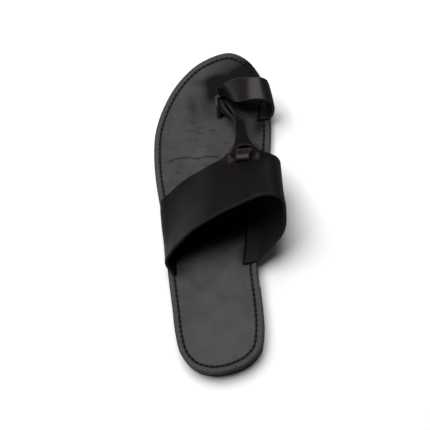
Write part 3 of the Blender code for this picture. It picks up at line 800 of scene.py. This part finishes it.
# footbed
footbedShape = {
    "rimLoops": (0.0001, 0.00025, 0.00045, 0.0007, 0.0011, 0.0016, 0.0022, 0.0028, 0.0033, 0.0037,
                 0.0040, 0.0043, 0.0046, 0.0049, 0.0052, 0.0055, 0.0060, 0.0067, 0.0075),
    "mesh": 0.00085, "slotReach": 0.0016, "creaseReach": 0.0022, "rimRound": 0.0007, "sharpAngle": 50,
    "stitchInset": 0.0046, "grooveDepth": 0.00045, "grooveWidth": 0.00060, "grooveShade": 0.38,
    "grooveLip": 0.00012, "grooveLipAt": 0.0012, "grooveLipWidth": 0.0007,
    "trough": 1.25, "ridge": 0.45, "ridgeAt": 2.2, "ridgeWidth": 1.2, "creaseEnd": 0.004,
    "creaseShadeDepth": 0.00032, "shadeFade": 1.15,
    "slotRound": 0.0005, "lip": 0.00035, "lipAt": 0.0013, "lipWidth": 0.0009,
    "swell": 0.00020, "swellScale": 60.0, "wrinkle": 0.00003, "ballWrinkle": 0.00009, "ballAt": 0.71,
    "ballReach": 0.035, "lightHeel": 0.38, "lightHeelAt": (0.0, 0.11), "lightHeelSize": (0.030, 0.032),
}
# the lip where the toe strap pulls at its slot: painted shade beside the slot and a painted highlight on the
# lip
pulledLip = {
    "side": 0.0015, "dip": 0.0012, "dipWidth": 0.0020, "rise": 0.0005, "riseAt": 0.0026, "riseWidth": 0.0007,
    "dark": 1.2, "shadeWidth": 0.0019, "spanAt": 0.853, "span": 0.0054, "highlightAt": 0.0017,
    "highlightWidth": 0.00070,
}
# creases: points as shares of the sole, depth and half width in metres
creases = [
    ([(-0.421, 0.657), (-0.360, 0.663), (-0.307, 0.668), (-0.229, 0.669), (-0.134, 0.663), (-0.073, 0.668),
      (0.004, 0.665), (0.081, 0.660)], 0.00024, 0.00050),
    ([(-0.355, 0.621), (-0.310, 0.623), (-0.270, 0.617)], 0.00018, 0.00045),
    ([(-0.415, 0.594), (-0.372, 0.595), (-0.329, 0.591)], 0.00016, 0.00045),
    ([(0.070, 0.717), (0.103, 0.708), (0.140, 0.699)], 0.00022, 0.00045),
    ([(-0.160, 0.768), (-0.109, 0.762), (-0.050, 0.767)], 0.00016, 0.00055),
    ([(-0.276, 0.750), (-0.215, 0.755), (-0.153, 0.753), (-0.068, 0.738)], 0.00013, 0.00055),
    ([(-0.221, 0.785), (-0.160, 0.781), (-0.108, 0.775)], 0.00012, 0.00055),
    ([(-0.375, 0.704), (-0.340, 0.701), (-0.305, 0.696)], 0.00014, 0.00045),
    ([(-0.190, 0.700), (-0.130, 0.704), (-0.060, 0.699), (0.000, 0.703)], 0.00011, 0.00055),
    ([(-0.120, 0.643), (-0.060, 0.640), (-0.020, 0.643)], 0.00014, 0.00045),
    ([(-0.330, 0.640), (-0.285, 0.644), (-0.240, 0.640), (-0.200, 0.643)], 0.00010, 0.00050),
    ([(-0.060, 0.748), (0.000, 0.752), (0.045, 0.744)], 0.00013, 0.00050),
    ([(-0.250, 0.724), (-0.190, 0.729), (-0.120, 0.722), (-0.060, 0.726)], 0.00011, 0.00055),
]
# dark patches of painted shade and reflection by the ring, the toe strap and the slots: x and y shares,
# radius along x and y in metres, strength
shadePatches = [
    (0.095, 0.900, 0.0100, 0.0085, 0.75), (0.200, 0.908, 0.0125, 0.0110, 0.62),
    (0.310, 0.922, 0.0110, 0.0125, 0.55), (0.390, 0.915, 0.0070, 0.0130, 0.50),
    (0.350, 0.958, 0.0110, 0.0110, 0.50), (0.230, 0.960, 0.0150, 0.0090, 0.30),
    (-0.050, 0.913, 0.0110, 0.0050, 0.42), (0.030, 0.890, 0.0065, 0.0100, 0.85),
    (-0.165, 0.836, 0.0042, 0.0095, 0.34), (-0.014, 0.848, 0.0066, 0.0135, 0.62),
    (0.200, 0.681, 0.0045, 0.0030, 1.20), (0.270, 0.687, 0.0055, 0.0026, 1.20),
    (0.340, 0.681, 0.0045, 0.0030, 1.20), (0.168, 0.664, 0.0036, 0.0034, 1.00),
    (0.402, 0.750, 0.0042, 0.0085, 0.85), (-0.300, 0.310, 0.0050, 0.0060, 0.45),
    (0.215, 0.345, 0.0035, 0.0100, 0.5),
]
# painted shade under the band and the ring
# darker under the straps, to match the photograph: x shares, back and front y shares,
# and how soft the back and the front are
shadeUnderStraps = [
    ((-0.440, -0.361, -0.302, -0.218, -0.112, -0.007, 0.099, 0.246, 0.480),
     (0.320, 0.326, 0.335, 0.345, 0.362, 0.371, 0.380, 0.392, 0.400),
     (0.530, 0.546, 0.558, 0.572, 0.587, 0.600, 0.612, 0.622, 0.610), 0.050, 0.020),
    ((0.060, 0.117, 0.166, 0.243, 0.329, 0.424, 0.490), (0.872, 0.847, 0.816, 0.806, 0.801, 0.796, 0.796),
     (0.890, 0.893, 0.894, 0.894, 0.890, 0.884, 0.878), 0.018, 0.016),
]
# wide, shallow hollows: x and y shares, depth, radius along x and y in metres
hollows = [
    (0.040, 0.842, 0.0011, 0.0052, 0.0110),
    (-0.180, 0.815, 0.00035, 0.0060, 0.0080),
    (-0.300, 0.300, 0.0005, 0.0060, 0.0100),
    (-0.020, 0.120, 0.0005, 0.0240, 0.0300),
    (0.000, 0.640, 0.0004, 0.0280, 0.0300),
]


def toLine(places, corners):
    # distance in plan from each place to a broken line
    best = np.full(len(places), 1e9)
    for start, end in zip(corners, corners[1:]):
        way = end - start
        share = np.clip(((places - start) @ way) / max(way @ way, 1e-12), 0, 1)
        best = np.minimum(best, np.linalg.norm(places - start - share[:, None] * way, axis=1))
    return best


def ovalDistance(places, x, y, reachX, reachY):
    # squared distance in plan from a place on the sole, counted in an oval's radii
    spot = onSole(x, y)
    return ((places[:, 0] - spot.x) / reachX) ** 2 + ((places[:, 1] - spot.y) / reachY) ** 2


def toSlot(places, name, wall, shift, extra):
    # signed distance in plan from each place to the slot's rim, and the side of it
    back, front = slotMouths(name)
    back = np.array((back.x, back.y))
    front = np.array((front.x, front.y))
    along = front - back
    length = np.linalg.norm(along) + 2 * straps["slotPlay"] + extra
    along /= np.linalg.norm(along)
    aside = np.array((along[1], -along[0]))
    centre = (back + front) / 2 + along * extra / 2 - aside * shift
    local = places - centre
    offAlong = np.abs(local @ along) - length / 2
    offAside = np.abs(local @ aside) - (wall / 2 + straps["slotPlay"])
    outside = np.hypot(np.maximum(offAlong, 0), np.maximum(offAside, 0))
    return outside + np.minimum(np.maximum(offAlong, offAside), 0), local @ aside


layer = straps["thickness"] + sole["gap"]
slotCuts = {
    "bandInner": (straps["thickness"], 0.0, 0.0), "bandOuter": (straps["thickness"], 0.0, 0.0),
    "ringInner": (straps["thickness"], 0.0, 0.0), "ringToe": (straps["thickness"], 0.0, 0.0),
    "strapToe": (straps["thickness"] + layer, layer / 2, toeStrapShape["slotJoin"]),
}


def slotTool(name, wall, shift, extra):
    back, front = slotMouths(name)
    along = front - back
    along.z = 0
    length = along.length + 2 * straps["slotPlay"] + extra
    along.normalize()
    aside = Vector((along.y, -along.x, 0))
    middle = (back + front) / 2 + along * extra / 2 - aside * shift
    middle.z = -sole["footbed"] / 2
    sizes = (wall + 2 * straps["slotPlay"], length, sole["footbed"] * 3)
    return boxTool("slot " + name, middle, (aside, along, Vector((0, 0, 1))), sizes, 0.0006)


def gridCut(bm, faces, axis, places):
    # planes across the faces, from low to high
    point = Vector((0, 0, 0))
    way = Vector((0, 0, 0))
    way[axis] = 1.0
    geometry = list({item for face in faces for item in [face, *face.edges, *face.verts]})
    for place in places:
        point[axis] = place
        made = bmesh.ops.bisect_plane(bm, geom=geometry, dist=1e-7, plane_co=point, plane_no=way)
        geometry = made["geom"]
    return [item for item in geometry if isinstance(item, bmesh.types.BMFace)]


def edgeMiddles(bm):
    bm.edges.index_update()
    return np.array([((edge.verts[0].co + edge.verts[1].co) / 2)[:] for edge in bm.edges])


def refine(bm, near, cuts):
    edges = [edge for edge in bm.edges if near(edge)]
    bmesh.ops.subdivide_edges(bm, edges=edges, cuts=cuts, use_grid_fill=True)
    many = [face for face in bm.faces if len(face.verts) > 4 and face.normal.z > 0.5]
    bmesh.ops.triangulate(bm, faces=many)


stitching = {
    "pitch": 0.00385, "length": 0.0031, "width": 0.0010, "thick": 0.42, "sink": 0.00015, "slant": 8.0,
    "unevenTurn": 0.05, "hole": 0.00075, "holeDepth": 0.0008, "holeShade": 1.3,
}


def seamRun():
    # the seam inside the rim: the middle and turn of each stitch, and the hole before it
    outline = soleOutline(14)
    count = len(outline)
    line = []
    for index, corner in enumerate(outline):
        way = (outline[(index + 1) % count] - outline[index - 1]).normalized()
        line.append(corner + Vector((-way.y, way.x, 0)) * footbedShape["stitchInset"])
    lengths = [(line[(index + 1) % count] - line[index]).length for index in range(count)]
    number = round(sum(lengths) / stitching["pitch"])
    pitch = sum(lengths) / number
    spots = []
    travelled = 0.0
    for index, length in enumerate(lengths):
        way = line[(index + 1) % count] - line[index]
        while len(spots) < 2 * number and len(spots) * pitch / 2 <= travelled + length:
            share = (len(spots) * pitch / 2 - travelled) / length
            spots.append((line[index] + way * share, math.atan2(way.y, way.x)))
        travelled += length
    return spots[0::2], [spot for spot, turn in spots[1::2]]


seamStitches, seamHoles = seamRun()


def buildFootbed():
    outline = soleOutline(28)
    bm = bmesh.new()
    bmesh.ops.create_circle(bm, cap_ends=True, segments=len(outline), radius=1.0)
    for vert, corner in zip(bm.verts, outline):
        vert.co = corner
    bm.faces.ensure_lookup_table()
    top = bm.faces[0]
    bm.normal_update()
    if top.normal.z < 0:
        top.normal_flip()
    rim = [edge for edge in bm.edges if edge.is_boundary]
    walled = bmesh.ops.extrude_edge_only(bm, edges=rim)
    low = [item for item in walled["geom"] if isinstance(item, bmesh.types.BMVert)]
    bmesh.ops.translate(bm, verts=low, vec=(0, 0, -sole["footbed"]))
    bottom = bmesh.ops.holes_fill(bm, edges=[edge for edge in bm.edges if edge.is_boundary], sides=0)["faces"]
    start = sole["toOrigin"].y
    gridCut(bm, bottom, 1, np.arange(start + 0.004, start + sole["length"], 0.004))
    before = 0.0
    for inset in footbedShape["rimLoops"]:
        bmesh.ops.inset_individual(bm, faces=[top], thickness=inset - before, use_even_offset=True)
        before = inset
    step = footbedShape["mesh"]
    lows = [min(vert.co[axis] for vert in top.verts) for axis in (0, 1)]
    highs = [max(vert.co[axis] for vert in top.verts) for axis in (0, 1)]
    inner = gridCut(bm, [top], 1, np.arange(lows[1] + step, highs[1], step))
    gridCut(bm, inner, 0, np.arange(lows[0] + step, highs[0], step))

    middles = edgeMiddles(bm)
    distance = np.full(len(middles), 1e9)
    for line, depth, width in creases:
        corners = np.array([tuple(onSole(*corner).xy) for corner in line])
        distance = np.minimum(distance, toLine(middles[:, :2], corners))
    creaseNear = (distance < footbedShape["creaseReach"]) & (middles[:, 2] >= -0.0001)
    refine(bm, lambda edge: creaseNear[edge.index], 2)

    footbed = addPiece("footbed_leather", bm, footbedMaterial, ["footbed"])
    tools = [slotTool(name, *values) for name, values in slotCuts.items()]
    cutWith(footbed, tools)
    bm = bmesh.new()
    bm.from_mesh(footbed.data)
    bm.normal_update()
    middles = edgeMiddles(bm)
    distance = np.full(len(middles), 1e9)
    for name, values in slotCuts.items():
        distance = np.minimum(distance, np.abs(toSlot(middles[:, :2], name, *values)[0]))
    slotNear = (distance < footbedShape["slotReach"]) & (middles[:, 2] > -0.0001)
    refine(bm, lambda edge: slotNear[edge.index], 2)
    bmesh.ops.triangulate(bm, faces=bm.faces)
    bm.to_mesh(footbed.data)
    bm.free()
    shapeFootbed(footbed.data, outline)
    return footbed


def shapeFootbed(mesh, outline):
    shape = footbedShape
    places = positions(mesh)
    plan = places[:, :2]
    top = places[:, 2] > -0.00001
    edge = np.array([tuple(corner.xy) for corner in outline + outline[:1]])
    flat = np.column_stack([plan, np.zeros(len(plan))])
    inset = np.minimum(toLine(plan, edge), 0.02)
    height = np.zeros(len(plan))
    drop = np.clip(shape["rimRound"] - inset, 0, shape["rimRound"])
    height -= shape["rimRound"] - np.sqrt(np.maximum(shape["rimRound"] ** 2 - drop ** 2, 0))
    groove = np.exp(-((inset - shape["stitchInset"]) / shape["grooveWidth"]) ** 2)
    height -= shape["grooveDepth"] * groove
    for side in (1, -1):
        beside = inset - shape["stitchInset"] + side * shape["grooveLipAt"]
        height += shape["grooveLip"] * np.exp(-(beside / shape["grooveLipWidth"]) ** 2)
    holes = kdtree.KDTree(len(seamHoles))
    for index, spot in enumerate(seamHoles):
        holes.insert(Vector((spot.x, spot.y, 0)), index)
    holes.balance()
    punched = np.zeros(len(plan))
    for index in np.flatnonzero(top & (np.abs(inset - shape["stitchInset"]) < 0.002)):
        away = holes.find(Vector((*plan[index], 0)))[2]
        punched[index] = math.exp(-(away / stitching["hole"]) ** 2)
    height -= stitching["holeDepth"] * punched
    creaseShade = np.zeros(len(plan))
    for line, depth, width in creases:
        corners = smoothPath([Vector((*onSole(*corner).xy, 0)) for corner in line], 6)
        corners = np.array([tuple(corner.xy) for corner in corners])
        distance = toLine(plan, corners)
        toStart, toEnd = (np.linalg.norm(plan - corners[index], axis=1) for index in (0, -1))
        fade = np.clip(np.minimum(toStart, toEnd) / shape["creaseEnd"], 0.15, 1)
        trough = np.exp(-(distance / width) ** 2) * fade
        ridge = np.exp(-((distance - width * shape["ridgeAt"]) / (width * shape["ridgeWidth"])) ** 2)
        height += -depth * shape["trough"] * trough + depth * shape["ridge"] * ridge * fade
        # painted shade in the crease
        creaseShade = np.maximum(creaseShade, trough * depth / shape["creaseShadeDepth"])
    for x, y, depth, reachX, reachY in hollows:
        height -= depth * np.exp(-ovalDistance(plan, x, y, reachX, reachY))
    slotShade = np.zeros(len(plan))
    paintedShade = np.zeros(len(plan))
    # painted shade and reflection in dark patches on the footbed
    for x, y, reachX, reachY, strength in shadePatches:
        paintedShade += strength * np.exp(-ovalDistance(plan, x, y, reachX, reachY) ** shape["shadeFade"])
    paintedShade *= 0.90 + 0.35 * softNoise(flat, 150.0, 4.0)
    shareX = (plan[:, 0] - sole["toOrigin"].x) / sole["ballWidth"]
    shareY = (plan[:, 1] - sole["toOrigin"].y) / sole["length"]
    # painted shade under the band and the ring
    for acrossShares, backShares, frontShares, softBack, softFront in shadeUnderStraps:
        behind = np.clip((shareY - np.interp(shareX, acrossShares, backShares)) / softBack + 0.5, 0, 1)
        before = np.clip((np.interp(shareX, acrossShares, frontShares) - shareY) / softFront + 0.5, 0, 1)
        inside = (shareX > acrossShares[0]) & (shareX < acrossShares[-1])
        paintedShade = np.maximum(paintedShade, inside * behind ** 2 * (3 - 2 * behind) * before ** 2 * (3 - 2 * before))
    for name, values in slotCuts.items():
        distance, side = toSlot(plan, name, *values)
        rounded = np.clip(shape["slotRound"] - distance, 0, shape["slotRound"])
        height -= shape["slotRound"] - np.sqrt(np.maximum(shape["slotRound"] ** 2 - rounded ** 2, 0))
        height += shape["lip"] * np.exp(-((distance - shape["lipAt"]) / shape["lipWidth"]) ** 2)
        if name == "strapToe":
            lip = pulledLip
            beyond = np.maximum(distance, 0)
            pulled = np.clip(-side / lip["side"], 0, 1)
            height -= pulled * lip["dip"] * np.exp(-(beyond / lip["dipWidth"]) ** 2)
            height += pulled * lip["rise"] * np.exp(-((distance - lip["riseAt"]) / lip["riseWidth"]) ** 2)
            # painted shade beside the pulled lip
            paintedShade += pulled * lip["dark"] * np.exp(-(beyond / lip["shadeWidth"]) ** 2)
            lipSpan = np.exp(-((plan[:, 1] - onSole(0, lip["spanAt"]).y) / lip["span"]) ** 4)
            # painted highlight on the pulled lip
            lipHighlightHeelLight = pulled * lipSpan * np.exp(-((distance - lip["highlightAt"]) / lip["highlightWidth"]) ** 2)
        # painted shade at every slot's mouth
        slotShade = np.maximum(slotShade, np.exp(-(np.maximum(distance, 0) / 0.0003) ** 2))
    height += shape["swell"] * softNoise(flat, shape["swellScale"], 1.0)
    folded = 1 - np.abs(softNoise(flat * (0.55, 1.5, 1.0), 170.0, 6.0)) * 2.2
    ball = np.exp(-((plan[:, 1] - onSole(0, shape["ballAt"]).y) / shape["ballReach"]) ** 2)
    height -= (shape["wrinkle"] + shape["ballWrinkle"] * ball) * np.clip(folded, 0, 1) ** 4
    fromHeel = plan[:, 1] - sole["toOrigin"].y
    waist = np.clip((sole["heelLength"] + sole["waist"] - fromHeel) / sole["waist"], 0, 1)
    spring = np.clip((fromHeel - sole["length"] + sole["spring"]) / sole["spring"], 0, None)
    bend = (sole["heelHeight"] + sole["gap"]) * waist ** 2 * (3 - 2 * waist) + sole["toeSpring"] * spring ** 2
    base = sole["outsole"] + sole["gap"] + sole["footbed"]
    places[:, 2] += bend + base + np.where(top, height, 0.0)
    setPositions(mesh, places)
    mesh.shade_smooth()
    mesh.set_sharp_from_angle(angle=math.radians(shape["sharpAngle"]))
    # painted shade in the seam's groove and in the stitch holes
    seam = shape["grooveShade"] * np.exp(-((inset - shape["stitchInset"] - 0.0001) / 0.0006) ** 2)
    seam = np.maximum(seam, punched * stitching["holeShade"])
    setLayer(mesh, "groove", np.where(top, np.clip(seam, 0, 1), 0.0))
    # a lighter patch at the heel
    lipHighlightHeelLight += shape["lightHeel"] * np.exp(-ovalDistance(plan, *shape["lightHeelAt"], *shape["lightHeelSize"]))
    setLayer(mesh, "lipHighlightHeelLight", np.where(top & (inset > shape["stitchInset"] + 0.001), lipHighlightHeelLight, 0.0))
    setLayer(mesh, "paintedShade", np.where(top, np.clip(paintedShade, 0, 1), 0.0))
    setLayer(mesh, "rim", np.where(top & (inset < shape["stitchInset"]), 1.0, 0.0))
    setLayer(mesh, "creaseShade", np.where(top, np.clip(creaseShade, 0, 1), 0.0))
    setLayer(mesh, "burnishSlotShade", np.where(top, np.clip(np.maximum(1 - inset / 0.0006, slotShade), 0, 1), 1.0))


footbed = buildFootbed()
print("footbed made", len(footbed.data.polygons))


def sewFootbed():
    bm = bmesh.new()
    for index, (spot, turn) in enumerate(seamStitches):
        y = spot.y - sole["toOrigin"].y
        slope = (footbedTop(y + 0.001) - footbedTop(y - 0.001)) / 0.002
        uneven = stitching["unevenTurn"] * noise.noise(Vector((index * 1.3, 0, 0)))
        turn += math.radians(stitching["slant"]) + uneven
        rise = math.atan(slope * math.sin(turn))
        place = Matrix.Translation((spot.x, spot.y, footbedTop(y) - stitching["sink"]))
        width = stitching["width"]
        size = Matrix.Diagonal((stitching["length"] / 2, width / 2, width * stitching["thick"], 1.0))
        turned = Matrix.Rotation(turn, 4, "Z") @ Matrix.Rotation(-rise, 4, "Y")
        bmesh.ops.create_uvsphere(bm, u_segments=8, v_segments=6, radius=1.0, matrix=place @ turned @ size)
    return addPiece("footbed_stitches", bm, thread, [])


stitches = sewFootbed()
print("stitches made", len(stitches.data.polygons))

for name, material in (("outsole", outsoleMaterial), ("heel", heelMaterial)):
    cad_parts[name].data.materials.clear()
    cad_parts[name].data.materials.append(material)

# floor, light and camera
studio = {
    "floor": (0.96, 0.96, 0.96, 1), "floorSize": 1.9, "room": 0.05, "over": 70.0, "side": 3.0,
}


def makeFloor():
    bm = bmesh.new()
    bmesh.ops.create_grid(bm, x_segments=2, y_segments=2, size=studio["floorSize"] / 2)
    mesh = bpy.data.meshes.new("studio_floor")
    bm.to_mesh(mesh)
    bm.free()
    floor = bpy.data.objects.new("studio_floor", mesh)
    bpy.context.scene.collection.objects.link(floor)
    material, tree, shader = newMaterial("white floor", 0.2)
    shader.inputs["Base Color"].default_value = studio["floor"]
    shader.inputs["Roughness"].default_value = 0.9
    mesh.materials.append(material)


def softLight(name, spot, aim, size, power):
    data = bpy.data.lights.new(name, "AREA")
    data.shape = "RECTANGLE"
    data.size, data.size_y = size
    data.energy = power
    light = bpy.data.objects.new(name, data)
    bpy.context.scene.collection.objects.link(light)
    light.location = spot
    light.rotation_mode = "QUATERNION"
    light.rotation_quaternion = (Vector(aim) - Vector(spot)).to_track_quat("-Z", "Y")
    return light


def makeLight():
    world = bpy.data.worlds.new("studio")
    bpy.context.scene.world = world
    world.use_nodes = True
    world.node_tree.nodes["Background"].inputs["Color"].default_value = (1.0, 1.0, 1.0, 1.0)
    tree = world.node_tree
    seen = addNode(tree, "ShaderNodeLightPath").outputs["Is Camera Ray"]  # a white room, dim in reflections
    tree.links.new(maths(tree, "MAXIMUM", seen, studio["room"]), tree.nodes["Background"].inputs["Strength"])
    softLight("ceiling softbox", (-0.34, 0.74, 2.08), (-0.05, 0.05, 0), (2.0, 1.8), studio["over"])
    softLight("side softbox", (-1.25, 0.25, 0.50), (0, 0, 0.05), (1.8, 0.95), studio["side"])


# above the heel and a little to the inner side, rolled as in the photograph
view = {
    "azimuth": 20.0, "elevation": 70.0, "roll": -23.0, "away": 1.0, "lens": 112.6, "sensor": 36.0,
    "aim": Vector((-0.005182, -0.00575, 0.010)),
}


def makeCamera():
    a = math.radians(view["azimuth"])
    e = math.radians(view["elevation"])
    r = math.radians(view["roll"])
    back = Vector((math.sin(a) * math.cos(e), -math.cos(a) * math.cos(e), math.sin(e)))
    right = Vector((0, 0, 1)).cross(back).normalized()
    up = back.cross(right)
    turnedRight = right * math.cos(r) + up * math.sin(r)
    turnedUp = up * math.cos(r) - right * math.sin(r)
    data = bpy.data.cameras.new("camera")
    data.lens = view["lens"]
    data.sensor_width = view["sensor"]
    camera = bpy.data.objects.new("camera", data)
    bpy.context.scene.collection.objects.link(camera)
    turn = Matrix((turnedRight, turnedUp, back)).transposed().to_4x4()
    camera.matrix_world = Matrix.Translation(view["aim"] + back * view["away"]) @ turn
    bpy.context.scene.camera = camera


makeFloor()
makeLight()
makeCamera()
bpy.context.scene.view_settings.view_transform = "Standard"
print("studio made")
